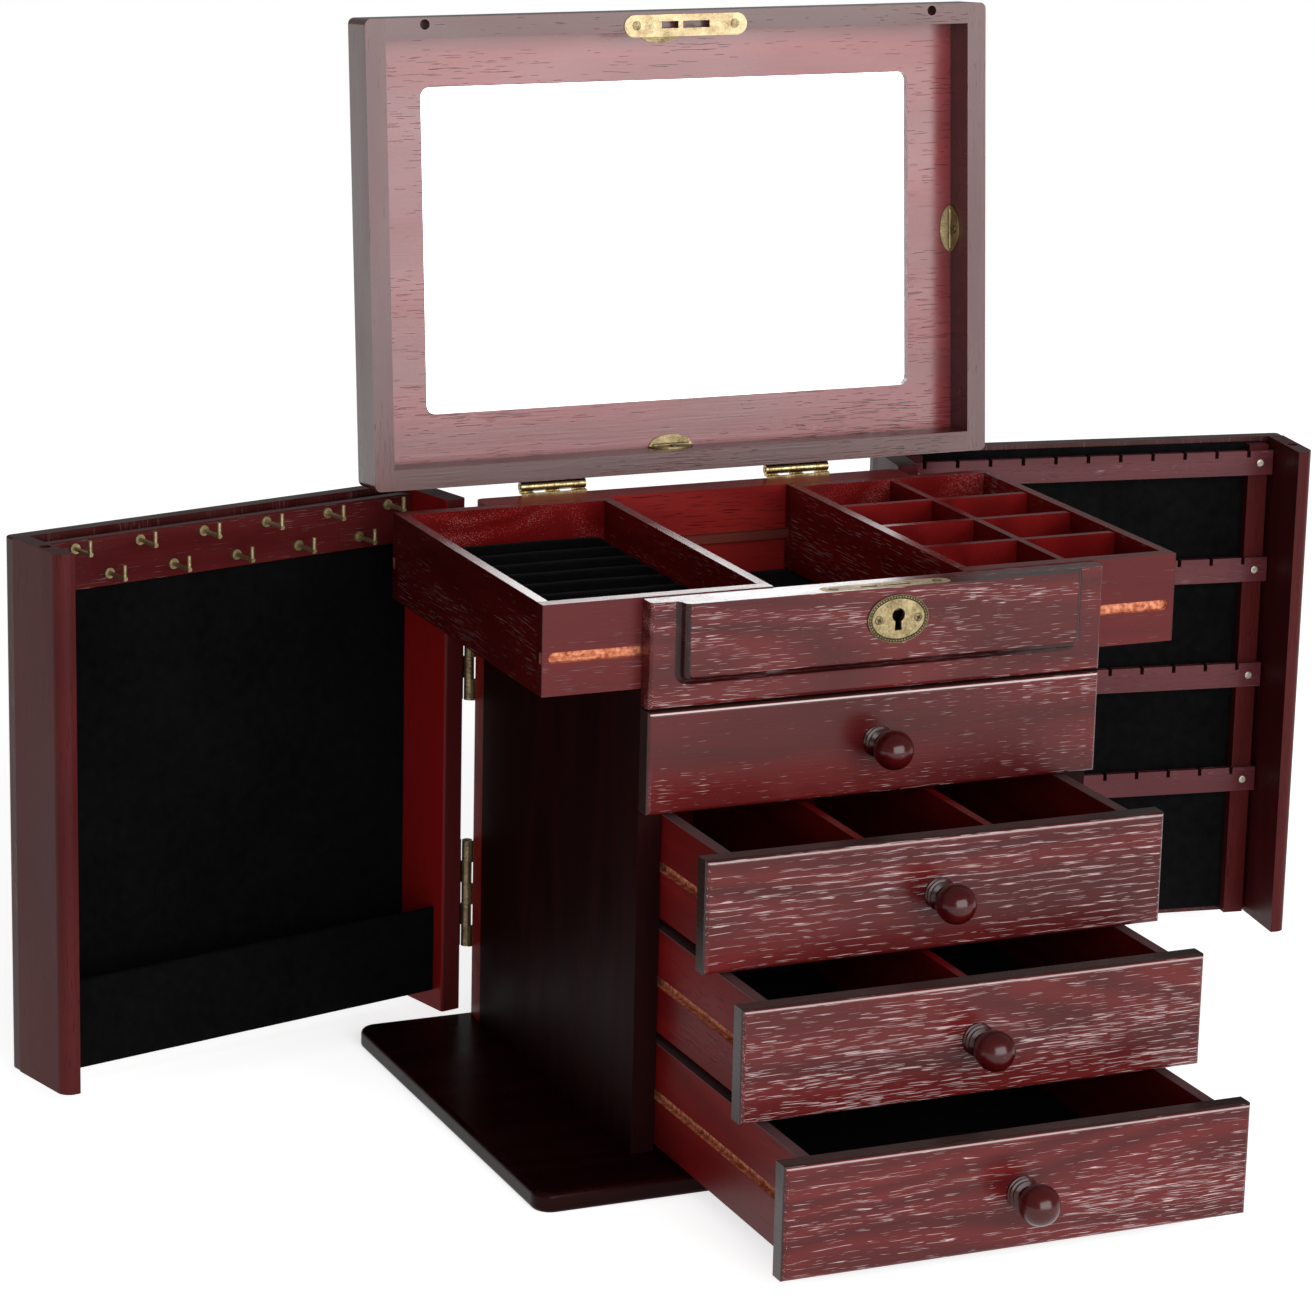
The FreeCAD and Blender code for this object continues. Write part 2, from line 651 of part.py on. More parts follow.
def make_lid():
    hw = lid_width / 2 - lid_rim
    y0, y1 = lid_y0 + lid_rim, lid_y1 - lid_rim
    glass_z = lid_z + frame_z + frame_thick
    panel_low = glass_z + mirror_thick
    rim = make_lid_rim()
    bolt_room = bolt_slots(lid_z - 1, lid_z + 4.5, 0.6)
    rim = group(*[s.cut(bolt_room) for s in rim.Solids])
    nodes["lid_rim"] = lift_lid(rim)
    nodes["lid_panel"] = lift_lid(box(-hw, hw, y0, y1, panel_low, lid_z + lid_thick - 0.4))
    nodes["mirror_frame"] = lift_lid(make_mirror_frame())
    nodes["mirror"] = lift_lid(box(-hw + 8, hw - 8, y0 + 8, y1 - 8, glass_z, panel_low))
    nodes["mirror_clips"] = lift_lid(make_clips())
    nodes["strike_plate"] = lift_lid(make_strike_plate())
    nodes["lid_screws"] = lift_lid(make_lid_screws())


make_lid()


# ---- wings, built shut on the left side; t is measured outwards from the open side ----
def wing_box(t0, t1, s0, s1, z0, z1):
    """s runs forward from the wing's rear face."""
    return box(-free_x - t1, -free_x - t0, wing_y1 - s1, wing_y1 - s0, z0, z1)


stile_end = wing_length - wing_front
inner_t = wing_depth - wing_panel


def make_wing_panel():
    panel = wing_box(inner_t, wing_depth, 0, wing_length, wing_z0, top_z)
    panel = round_edges(panel, 3.0, lambda c, e: along(e, V(0, 0, 1)) and c.x < -free_x - 49)
    return round_edges(panel, 1.0, lambda c, e: c.x < -free_x - wing_depth + 0.01)


def make_stiles():
    front = wing_box(0, inner_t, stile_end, wing_length, wing_z0, top_z)
    front = round_edges(front, 6.0, lambda c, e: along(e, V(0, 0, 1))
                        and c.x > -free_x - 0.01 and c.y < wing_y0 + 0.01)
    front = front.cut(cyl(peg_r + 0.3, peg_deep + 1, V(-peg_x, peg_y, top_z - peg_deep)))
    rear = wing_box(0, inner_t, 0, wing_rear, wing_z0, top_z)
    rear = round_edges(rear, 1.5, lambda c, e: along(e, V(0, 0, 1)) and c.x > -free_x - 0.01)
    return group(front, rear)


liner_t, liner_thick = 33.8, 3.2
hook_board_t = 28.8
hook_pitch = 34.4
hook_rows = ((26.2, 263.0, 6), (42.6, 249.3, 5))      # first s, height, count
hook_reach, hook_tip = 15.5, 6.4


def make_hook(s, z):
    """An L hook: collar, plain shaft and a tip turned up."""
    x = -free_x - hook_board_t
    y = wing_y1 - s
    collar = cyl(2.5, 1.4, V(x, y, z), V(1, 0, 0))
    shaft = cyl(1.0, hook_reach, V(x, y, z), V(1, 0, 0))
    tip = cyl(1.0, hook_tip + 1.0, V(x + hook_reach - 1.0, y, z - 1.0))
    return collar.fuse(shaft).fuse(tip).removeSplitter()


def make_left_wing():
    clear = 0.1
    s0, s1 = wing_rear + clear, stile_end - clear
    liner = wing_box(liner_t, liner_t + liner_thick, s0, s1, 13.5, 266.0)
    battens = [wing_box(liner_t + liner_thick, inner_t - 0.05, s0, s1, z, z + 22) for z in (16, 238)]
    board = wing_box(hook_board_t, liner_t - 0.1, s0, s1, 243.0, 266.6)
    board = round_edges(board, 0.8, lambda c, e: c.x > -free_x - hook_board_t - 0.01)
    hooks = [make_hook(s + hook_pitch * i, z) for s, z, count in hook_rows for i in range(count)]
    pocket_front = wing_box(6.5, 9.5, s0, s1, 20.5, 63.5)
    pocket_floor = wing_box(9.5, liner_t - 0.1, s0, s1, 20.5, 23.5)
    nodes["left_wing_panel"] = swing(make_wing_panel(), "left")
    nodes["left_wing_stiles"] = swing(make_stiles(), "left")
    nodes["left_wing_liner"] = swing(group(liner, *battens), "left")
    nodes["hook_board"] = swing(board, "left")
    nodes["necklace_hooks"] = swing(group(*hooks), "left")
    nodes["left_wing_pocket"] = swing(group(pocket_front, pocket_floor), "left")


post_t, post_wide, post_gap = 34.0, 10.5, 2.4
rail_t, rail_high, rail_top_z, rail_pitch = 30.5, 12.8, 256.7, 56.7
rail_gap, rail_screw = 1.1, 8.2           # from the stiles to a rail's end and to its screw
notch_pitch, notch_wide, notch_deep, last_notch = 17.6, 2.0, 3.5, 199.9
card_t = 40.0


def make_rail(z):
    """A necklace rail with a row of narrow notches cut down into its top edge."""
    rail = wing_box(rail_t, post_t - 0.1, wing_rear + rail_gap, stile_end - rail_gap,
                    z - rail_high / 2, z + rail_high / 2)
    top = z + rail_high / 2
    s = last_notch
    while s > wing_rear + post_gap + post_wide:
        rail = rail.cut(wing_box(rail_t - 1, post_t + 1, s - notch_wide / 2, s + notch_wide / 2,
                                 top - notch_deep, top + 1))
        s -= notch_pitch
    return rail


def make_right_wing():
    heights = [rail_top_z - rail_pitch * i for i in range(4)]
    card = wing_box(card_t, inner_t - 0.05, wing_rear + 0.1, stile_end - 0.1, 13.5, 266.0)
    posts = [wing_box(post_t, card_t - 0.1, s, s + post_wide, 12.0, 265.5)
             for s in (wing_rear + post_gap, stile_end - post_gap - post_wide)]
    rails = [make_rail(z) for z in heights]
    screws = [screw_head(V(-free_x - rail_t, wing_y1 - s, z), V(1, 0, 0), 2.1, 1.0)
              for z in heights for s in (wing_rear + rail_screw, stile_end - rail_screw)]
    parts = {"right_wing_panel": make_wing_panel(), "right_wing_stiles": make_stiles(),
             "right_wing_liner": card, "right_wing_posts": group(*posts),
             "necklace_rails": group(*rails), "rail_screws": group(*screws)}
    for name, shape in parts.items():
        nodes[name] = swing(mirrored(shape), "right")


make_left_wing()
make_right_wing()


# ---- write one file per node ----
for name, shape in nodes.items():
    if not shape.isValid():
        print("not valid:", name)
    shape.exportStep("parts/%s.step" % name)
print(len(nodes), "nodes")
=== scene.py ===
import json
import math

import bmesh
import bpy
from mathutils import Matrix, Vector, noise


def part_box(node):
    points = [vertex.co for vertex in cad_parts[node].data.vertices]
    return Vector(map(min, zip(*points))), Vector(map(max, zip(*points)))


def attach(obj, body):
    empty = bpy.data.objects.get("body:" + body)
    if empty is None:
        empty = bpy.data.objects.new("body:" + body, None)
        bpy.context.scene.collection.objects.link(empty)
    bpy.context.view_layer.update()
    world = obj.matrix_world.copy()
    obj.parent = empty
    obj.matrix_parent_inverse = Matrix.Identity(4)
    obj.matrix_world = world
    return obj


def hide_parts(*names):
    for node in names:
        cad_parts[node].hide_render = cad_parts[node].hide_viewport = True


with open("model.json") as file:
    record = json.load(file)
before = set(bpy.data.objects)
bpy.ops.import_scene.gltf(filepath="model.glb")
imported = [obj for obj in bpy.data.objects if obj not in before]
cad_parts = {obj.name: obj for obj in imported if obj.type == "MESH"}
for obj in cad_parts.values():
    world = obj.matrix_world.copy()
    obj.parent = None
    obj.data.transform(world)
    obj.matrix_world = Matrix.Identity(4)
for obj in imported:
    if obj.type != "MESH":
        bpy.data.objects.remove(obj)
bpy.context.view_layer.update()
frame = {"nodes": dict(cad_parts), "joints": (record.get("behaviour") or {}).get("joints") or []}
scene = bpy.context.scene
nodes = frame["nodes"]
joints = {joint["name"]: joint for joint in frame["joints"]}

X, Y, Z = Vector((1, 0, 0)), Vector((0, 1, 0)), Vector((0, 0, 1))
DRAWERS = (1, 2, 3, 4)


# ---- where the hinged groups stand ----
def opened(name):
    """The turn that takes a shut wing or lid to where it stands at rest."""
    joint = joints[name]
    pin = Vector(joint["pos_m"])
    turn = Matrix.Rotation(math.radians(-joint["range_deg"][0]), 4, Vector(joint["axis"]))
    return Matrix.Translation(pin) @ turn @ Matrix.Translation(-pin)


def shut_box(node, place):
    """Lowest and highest corners of a node with its body shut."""
    back = place.inverted()
    points = [back @ v.co for v in nodes[node].data.vertices]
    low = Vector([min(p[i] for p in points) for i in range(3)])
    high = Vector([max(p[i] for p in points) for i in range(3)])
    return low, high


def turned(place, way):
    """A direction on the shut body, as it points at rest."""
    return place.to_3x3() @ way


LID, LEFT, RIGHT = opened("lid_hinge"), opened("left_wing_hinge"), opened("right_wing_hinge")
HERE = Matrix.Identity(4)


# ---- materials ----
MIX_SHARE, MIX_FIRST, MIX_SECOND, MIX_RESULT = 0, 6, 7, 2       # the Mix node's colour sockets


class Shader:
    """A material's node tree, with one short call for each kind of node."""

    def __init__(self, name):
        self.material = bpy.data.materials.new(name)
        self.material.use_nodes = True
        self.tree = self.material.node_tree
        self.surface = self.tree.nodes["Principled BSDF"]
        self.point = self.add("ShaderNodeTexCoord").outputs["Object"]

    def add(self, kind, **settings):
        node = self.tree.nodes.new(kind)
        for key, value in settings.items():
            setattr(node, key, value)
        return node

    def feed(self, socket, value):
        """Link an output to the socket, or set a plain value on it."""
        if isinstance(value, bpy.types.NodeSocket):
            self.tree.links.new(value, socket)
        elif socket.type == "RGBA":
            socket.default_value = (*value, 1)
        else:
            socket.default_value = value

    def set(self, **values):
        """Feed the surface's sockets. A name has _ where the socket's own has a space."""
        for name, value in values.items():
            self.feed(self.surface.inputs[name.replace("_", " ")], value)

    def math(self, operation, a, b=0.0, clamp=False):
        node = self.add("ShaderNodeMath", operation=operation, use_clamp=clamp)
        self.feed(node.inputs[0], a)
        self.feed(node.inputs[1], b)
        return node.outputs[0]

    def dot(self, vector, way):
        node = self.add("ShaderNodeVectorMath", operation="DOT_PRODUCT")
        self.feed(node.inputs[0], vector)
        node.inputs[1].default_value = way
        return node.outputs["Value"]

    def vector(self, x, y, z):
        node = self.add("ShaderNodeCombineXYZ")
        for socket, value in zip(node.inputs, (x, y, z)):
            self.feed(socket, value)
        return node.outputs[0]

    def stretched(self, axes, scales):
        """A vector of three coordinates, each times its own scale."""
        return self.vector(*[self.math("MULTIPLY", axis, scale) for axis, scale in zip(axes, scales)])

    def scaled(self, x, y, z):
        """The position, each coordinate times its own scale."""
        return self.stretched([self.dot(self.point, way) for way in (X, Y, Z)], (x, y, z))

    def noise(self, vector, detail=2.0, roughness=0.5):
        node = self.add("ShaderNodeTexNoise")
        self.feed(node.inputs["Vector"], vector)
        node.inputs["Scale"].default_value = 1
        node.inputs["Detail"].default_value = detail
        node.inputs["Roughness"].default_value = roughness
        return node.outputs["Fac"]

    def spread(self, value, low, high, to_low=0.0, to_high=1.0):
        """Map low..high to to_low..to_high, held at the ends."""
        node = self.add("ShaderNodeMapRange", clamp=True)
        for socket, number in zip(node.inputs, (value, low, high, to_low, to_high)):
            self.feed(socket, number)
        return node.outputs[0]

    def blend(self, share, a, b):
        """Colour a where share is 0 and colour b where it is 1."""
        node = self.add("ShaderNodeMix", data_type="RGBA")
        self.feed(node.inputs[MIX_SHARE], share)
        self.feed(node.inputs[MIX_FIRST], a)
        self.feed(node.inputs[MIX_SECOND], b)
        return node.outputs[MIX_RESULT]

    def bump(self, height, distance, strength=1.0):
        node = self.add("ShaderNodeBump")
        node.inputs["Strength"].default_value = strength
        node.inputs["Distance"].default_value = distance
        self.feed(node.inputs["Height"], height)
        self.feed(self.surface.inputs["Normal"], node.outputs[0])

    def within(self, way, centre, half):
        """1 where the distance along a direction is within half of centre."""
        gap = self.math("ABSOLUTE", self.math("SUBTRACT", self.dot(self.point, way), centre))
        return self.math("LESS_THAN", gap, half)


WANDER = 0.0022                    # how far the grain strays sideways
RING_TURNS = 46                    # how closely the growth rings follow each other
ROW_PITCH = 0.0034                 # distance between two rows of pores
ROW_STRAY = 9                      # how far the rows bend with the broad figure
PORE_LEVEL = 0.85                  # noise above this marks the pores, before the changes below
BARE_DARK, BARE_LIGHT = (0.26, 0.060, 0.028), (0.62, 0.25, 0.14)


def grain_noise(s, axes, along, across, detail):
    """Noise with one scale along the grain and another across it."""
    return s.noise(s.stretched(axes, (along, across, across)), detail)


def grain_axes(s, along, across):
    """Positions along the grain, across it, and along the third direction."""
    return [s.dot(s.point, way) for way in (along, across, along.cross(across))]


def board_axes(s, along, across, other, seed):
    """The grain's axes, turned on the boards that run another way, with a slight wander."""
    axes = grain_axes(s, along, across)
    if other:
        test, along_there, across_there = other
        there = test(s)
        here = s.math("SUBTRACT", 1.0, there)
        axes = [s.math("ADD", s.math("MULTIPLY", a, here), s.math("MULTIPLY", b, there))
                for a, b in zip(axes, grain_axes(s, along_there, across_there))]
    u, v, w = axes
    u = s.math("ADD", u, seed)
    stray = s.math("SUBTRACT", grain_noise(s, (u, v, w), 26, 60, 1.0), 0.5)
    return u, s.math("ADD", v, s.math("MULTIPLY", stray, WANDER)), w


def open_pores(s, axes, broad, rings, dense, rows):
    """1 in the pores, which are thin strokes along the grain."""
    edge = s.math("SUBTRACT", PORE_LEVEL - 0.14 * dense, s.math("MULTIPLY", rings, 0.09 * (1 - rows)))
    if rows:
        turns = s.math("MULTIPLY", axes[1], 2 * math.pi / ROW_PITCH)
        line = s.math("SINE", s.math("ADD", turns, s.math("MULTIPLY", broad, ROW_STRAY)))
        edge = s.math("SUBTRACT", edge, s.math("MULTIPLY", line, 0.15 * rows))
    patch = s.spread(grain_noise(s, axes, 8, 30, 1.0), 0.35, 0.65, 0.07, -0.04)
    edge = s.math("ADD", edge, patch)
    strokes = grain_noise(s, axes, 100, 3500, 0.0)
    return s.spread(s.math("SUBTRACT", strokes, edge), 0.0, 0.02)


def bare_wood(s, axes):
    """Speckled wood with no stain on it."""
    speck = s.noise(s.stretched(axes, (420, 420, 420)), 3.0)
    return s.blend(s.spread(speck, 0.35, 0.65), BARE_DARK, BARE_LIGHT)


def wood(name, along, across, dark, light, pore_fill_and_glint, dense=0.5, rough=0.24, figure=1.0,
         rows=0.0, other=None, raw=None, coats_and_painted_light=(), bump=0.00012, seed=0.0, gloss=0.2):
    """Lacquered open-grained wood. The grain runs along one direction. rows draws the pores into
    growth lines. other has a test for the boards of a node that run another way, and their two
    directions. raw is a test for a groove cut through the stain. coats has a test, a strength
    and a colour for each face coloured apart: painted shade, sheen and highlight on most, a real
    stain on the rest. Pale colours for the pores are a painted glint."""
    s = Shader(name)
    axes = board_axes(s, along, across, other, seed)
    broad = grain_noise(s, axes, 2.6, 17, 1.0)
    rings = s.spread(s.math("SINE", s.math("MULTIPLY", broad, RING_TURNS * figure)), -1, 1)
    mottle = grain_noise(s, axes, 9, 34, 3.0)
    fibre = grain_noise(s, axes, 30, 1300, 1.0)
    tone = s.math("ADD", s.math("MULTIPLY", rings, 0.42), s.math("MULTIPLY", mottle, 0.55))
    tone = s.math("ADD", tone, s.math("MULTIPLY", s.math("SUBTRACT", fibre, 0.5), 0.5), clamp=True)
    pores = open_pores(s, axes, broad, rings, dense, rows)
    # The pores take the colour given for them: a dark fill, and where that colour is pale, a painted glint
    # of light.
    colour = s.blend(s.math("MULTIPLY", pores, 0.9), s.blend(tone, dark, light), pore_fill_and_glint)
    height = s.math("SUBTRACT", s.math("MULTIPLY", fibre, 0.25), pores)
    rough_map = s.spread(mottle, 0.3, 0.7, rough - 0.05, rough + 0.07)
    if raw:
        share = raw(s)
        colour = s.blend(share, colour, bare_wood(s, axes))
        rough_map = s.math("MAXIMUM", rough_map, s.math("MULTIPLY", share, 0.85))
    # Colours laid on single faces: most are painted shade, sheen and highlight, a few a real stain.
    for test, strength, face_colour in coats_and_painted_light:
        colour = s.blend(s.math("MULTIPLY", test(s), strength), colour, face_colour)
    s.set(Base_Color=colour, Roughness=rough_map, IOR=1.5, Specular_IOR_Level=gloss)
    s.bump(height, bump)
    return s.material


def patina():
    """The dark deposit left in the hollows of old brass."""
    s = Shader("brass_patina")
    grit = s.noise(s.scaled(1100, 1100, 1100))
    s.set(Base_Color=s.blend(grit, (0.03, 0.02, 0.012), (0.08, 0.055, 0.03)), Metallic=0.6)
    s.set(Roughness=s.spread(grit, 0.3, 0.7, 0.55, 0.75))
    s.bump(grit, 0.00005)
    return s.material


def velvet(name, tint, glow):
    """Short black pile: pile clumps, lighter where the nap lies over, and a soft sheen."""
    s = Shader(name)
    pile = s.noise(s.scaled(1500, 1500, 1500), 2.0)
    clump = s.noise(s.scaled(190, 190, 190), 3.0)
    lay = s.noise(s.scaled(22, 22, 22), 2.0)
    shade = s.math("ADD", s.math("MULTIPLY", clump, 0.6), s.math("MULTIPLY", lay, 0.5), clamp=True)
    pale = tuple(c * 2.4 for c in tint)
    s.set(Base_Color=s.blend(s.spread(shade, 0.35, 0.75), tint, pale), Roughness=0.95)
    s.set(Sheen_Weight=glow, Sheen_Roughness=0.35, Sheen_Tint=(0.55, 0.55, 0.6))
    s.set(Specular_IOR_Level=0.03)
    s.bump(s.math("ADD", s.math("MULTIPLY", pile, 0.6), clump), 0.0005, 0.8)
    return s.material


def brass(name, bright, dull, worn, rough, speck=900, dark_below=None):
    """Metal with tarnish clouds, grit and fine scratches. Below dark_below it is in deep shade."""
    s = Shader(name)
    cloud = s.noise(s.scaled(130, 130, 130), 4.0, 0.6)
    grit = s.noise(s.scaled(speck, speck, speck), 2.0)
    brush = s.noise(s.scaled(90, 1700, 1700), 1.0)
    tarnish = s.math("ADD", s.math("MULTIPLY", cloud, 0.6), s.math("MULTIPLY", grit, 0.45))
    share = s.spread(tarnish, 0.30 + 0.2 * worn, 0.62 + 0.2 * worn)
    colour = s.blend(share, bright, dull)
    if dark_below is not None:
        under = s.math("LESS_THAN", s.dot(s.point, Z), dark_below)
        colour = s.blend(under, colour, (0.006, 0.005, 0.004))
    s.set(Base_Color=colour, Metallic=1.0)
    s.set(Roughness=s.math("ADD", s.spread(share, 0, 1, rough, rough + 0.22),
                           s.math("MULTIPLY", brush, 0.06)))
    s.bump(s.math("ADD", grit, brush), 0.00006)
    return s.material


def mirror_glass():
    """A clean mirror with a very faint haze."""
    s = Shader("mirror_glass")
    haze = s.spread(s.noise(s.scaled(60, 60, 60), 3.0), 0.4, 0.75)
    s.set(Base_Color=s.blend(haze, (0.98, 0.98, 0.98), (0.95, 0.96, 0.96)), Metallic=1.0)
    s.set(Roughness=s.spread(haze, 0, 1, 0.012, 0.03))
    return s.material


def dress(material, *names):
    """Give carried-over nodes their material."""
    for name in names:
        slots = nodes[name].data.materials
        slots.clear()
        slots.append(material)


# ---- stains: the light and dark of the wood, its pores (a painted glint where they are pale) and the lacquer's shine ----
# Pale colours for the pores (fronts, panel, trays, hook board, rails, outsides) are a painted glint of
# light.
FRONT = dict(dark=(0.030, 0.0022, 0.0025), light=(0.105, 0.0075, 0.0075), pore_fill_and_glint=(0.42, 0.30, 0.30),
             gloss=0.27)
CASE = dict(dark=(0.0060, 0.0008, 0.0008), light=(0.014, 0.0017, 0.0016), pore_fill_and_glint=(0.012, 0.003, 0.003),
            gloss=0.05)
RED = dict(dark=(0.070, 0.0022, 0.0026), light=(0.150, 0.0060, 0.0055), pore_fill_and_glint=(0.03, 0.002, 0.003),
           gloss=0.1)
TRAY = dict(RED, pore_fill_and_glint=(0.26, 0.17, 0.17))
# The back board's colours are RED made lighter: painted light from the mirror.
LIT_BACK = dict(RED, dark=(0.10, 0.0040, 0.004), light=(0.20, 0.012, 0.010))
MIRROR_FRAME = dict(dark=(0.110, 0.0085, 0.0115), light=(0.190, 0.020, 0.024),
                    pore_fill_and_glint=(0.012, 0.002, 0.003), gloss=0.66)
RIM = dict(dark=(0.048, 0.007, 0.007), light=(0.075, 0.012, 0.011), pore_fill_and_glint=(0.012, 0.003, 0.003),
           gloss=0.48)
WING = dict(dark=(0.036, 0.0035, 0.0040), light=(0.062, 0.008, 0.008), pore_fill_and_glint=(0.014, 0.002, 0.002),
            gloss=0.08)
HOOK_BOARD = dict(WING, pore_fill_and_glint=(0.13, 0.07, 0.07))
RAIL = dict(dark=(0.055, 0.009, 0.012), light=(0.085, 0.018, 0.021), pore_fill_and_glint=(0.15, 0.08, 0.09))
OUTER = dict(dark=(0.020, 0.0016, 0.0018), light=(0.048, 0.0045, 0.0045), pore_fill_and_glint=(0.10, 0.06, 0.06))
RUNNER = dict(dark=(0.05, 0.006, 0.004), light=(0.13, 0.02, 0.010), pore_fill_and_glint=(0.03, 0.004, 0.003))
KNOB = dict(dark=(0.028, 0.0012, 0.0015), light=(0.050, 0.0028, 0.0028), pore_fill_and_glint=(0.02, 0.002, 0.002),
            gloss=0.32)

# ---- colours laid on single faces: painted shade, sheen and highlight, and the real stains of the back board's rear and the stiles' inner faces ----
# Painted shade on the tray ends and on the front panel's rise.
PAINTED_SHADE = (0.002, 0.0004, 0.0004)
# Painted shade and sheen on the drawer fronts' top and end faces.
GREY_SHADE_AND_SHEEN = (0.020, 0.012, 0.010)
# Painted sheen on the drawer boxes' top edges.
TOP_EDGE_SHEEN = (0.09, 0.05, 0.052)
# Painted shade and sheen on the tray's front face.
TRAY_FRONT_SHADE_SHEEN = (0.060, 0.019, 0.020)
OUTER_COAT = (0.030, 0.0030, 0.0030)
STILE_COAT = (0.15, 0.004, 0.004)
# Painted highlight along the top arris of each drawer front.
ARRIS_HIGHLIGHT = (0.52, 0.42, 0.41)

# ---- how thickly each drawer front is set with pores, and how far they stand in rows ----
PORE_DENSITY = {1: 0.5, 2: 0.85, 3: 1.0, 4: 0.95}
PORE_ROWS = {1: 0.0, 2: 0.9, 3: 0.25, 4: 0.4}
# How strongly the painted highlight lies on each front's top arris.
ARRIS_STRENGTH = {1: 0.9, 2: 0.5, 3: 0.5, 4: 0.5}

# ---- sizes of the boards and grooves, for the tests that find them ----
GROOVE_DEEP, GROOVE_HALF = 0.0030, 0.0026
DRAWER_SIDE, TRAY_BOARD, STILE_THICK, RIM_BOARD = 0.0055, 0.0065, 0.0109, 0.0099
PANEL_RISE = 0.0065                # from the front panel's border out to its raised field
ARRIS_FRONT = 0.0005               # the arris light lies this close to the front face,
ARRIS_DROP = 0.0012                # this far below the top face
ARRIS_HALF = 0.00035               # and has this half width
SKIN = 0.0002                      # left out of a test, so that it doesn't take a whole face


def face_test(way, level, reach=0.0004):
    """True on the face that lies at a level along a direction."""
    return lambda s: s.within(way, level, reach)


def past_test(way, level):
    """True beyond a level along a direction."""
    return lambda s: s.math("GREATER_THAN", s.dot(s.point, way), level)


def beyond_test(way, middle, half):
    """True further than half from the middle along a direction."""
    def test(s):
        gap = s.math("ABSOLUTE", s.math("SUBTRACT", s.dot(s.point, way), middle))
        return s.math("GREATER_THAN", gap, half)
    return test


def groove_test(way, middle, outer, level):
    """True inside the grooves in the two outward faces, which are outer from the middle."""
    def test(s):
        side = s.math("ABSOLUTE", s.math("SUBTRACT", s.dot(s.point, way), middle))
        reach = s.math("ABSOLUTE", s.math("SUBTRACT", side, outer - GROOVE_DEEP / 2 - SKIN))
        deep_enough = s.math("LESS_THAN", reach, GROOVE_DEEP / 2)
        return s.math("MULTIPLY", deep_enough, s.within(Z, level, GROOVE_HALF))
    return test


def arris_test(front, top):
    """True on the part of the rounded top edge that catches the light."""
    def test(s):
        near_front = s.math("LESS_THAN", s.dot(s.point, Y), front + ARRIS_FRONT)
        return s.math("MULTIPLY", near_front, s.within(Z, top - ARRIS_DROP, ARRIS_HALF))
    return test


def dress_fronts():
    for k in DRAWERS:
        low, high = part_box("drawer_%d_front" % k)
        # Painted shade and sheen, darker and greyer, on the top and end faces.
        edges = [(face_test(way, level), 0.93, GREY_SHADE_AND_SHEEN)
                 for way, level in ((Z, high.z), (X, low.x), (X, high.x))]
        # The top arris gets a painted highlight.
        edges.append((arris_test(low.y, high.z), ARRIS_STRENGTH[k], ARRIS_HIGHLIGHT))
        dress(wood("front_%d" % k, X, Z, dense=PORE_DENSITY[k], rows=PORE_ROWS[k], seed=0.37 * k,
                   coats_and_painted_light=edges, figure=0.9 + 0.12 * k, **FRONT), "drawer_%d_front" % k)
    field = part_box("front_panel")[0].y
    # Painted shade on the rise from the border to the raised field.
    slope = (face_test(Y, field + PANEL_RISE / 2, PANEL_RISE / 2 - 0.0001), 0.75, PAINTED_SHADE)
    dress(wood("panel_face", X, Z, dense=0.8, seed=2.1, figure=1.25, coats_and_painted_light=[slope], **FRONT),
          "front_panel")
    knob = wood("knob_lacquer", Y, Z, dense=0.2, rough=0.2, bump=0.00003, **KNOB)
    dress(knob, *["drawer_%d_knob" % k for k in DRAWERS])


def dress_drawer_boxes():
    for k in DRAWERS:
        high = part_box("drawer_%d_box" % k)[1]
        front_low, front_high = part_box("drawer_%d_front" % k)
        groove = groove_test(X, 0.0, high.x, (front_low.z + front_high.z) / 2)
        back_board = past_test(Y, high.y - DRAWER_SIDE)
        # Painted sheen on the box's up-facing top edge.
        top_edge_sheen = (face_test(Z, high.z), 0.9, TOP_EDGE_SHEEN)
        dress(wood("drawer_box_%d" % k, Y, Z, dense=0.25, seed=0.6 * k, other=(back_board, X, Z),
                   raw=groove, coats_and_painted_light=[top_edge_sheen], rough=0.4, **RED), "drawer_%d_box" % k)
    dress(wood("divider_wood", Y, Z, dense=0.2, **RED), "drawer_2_dividers", "drawer_3_dividers")


def dress_trays():
    runner_low, runner_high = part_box("tray_runners")
    level = (runner_low.z + runner_high.z) / 2
    for side, seed in (("left", 1.2), ("right", 1.5)):
        name = side + "_tray_box"
        low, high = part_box(name)
        middle, half = (low.y + high.y) / 2, (high.y - low.y) / 2
        long_boards = beyond_test(Y, middle, half - TRAY_BOARD)
        # Painted shade on the tray's outer end face, which faces the wing.
        end = (face_test(X, low.x if side == "left" else high.x), 0.72, PAINTED_SHADE)
        # Painted shade and sheen on the tray's front face.
        front = (face_test(Y, low.y), 0.6, TRAY_FRONT_SHADE_SHEEN)
        dress(wood(name + "_wood", Y, Z, dense=0.5, other=(long_boards, X, Z), seed=seed,
                   raw=groove_test(Y, middle, half, level), coats_and_painted_light=[end, front], **TRAY), name)
    dress(wood("grid_wood", Y, Z, dense=0.25, **RED), "right_tray_dividers")


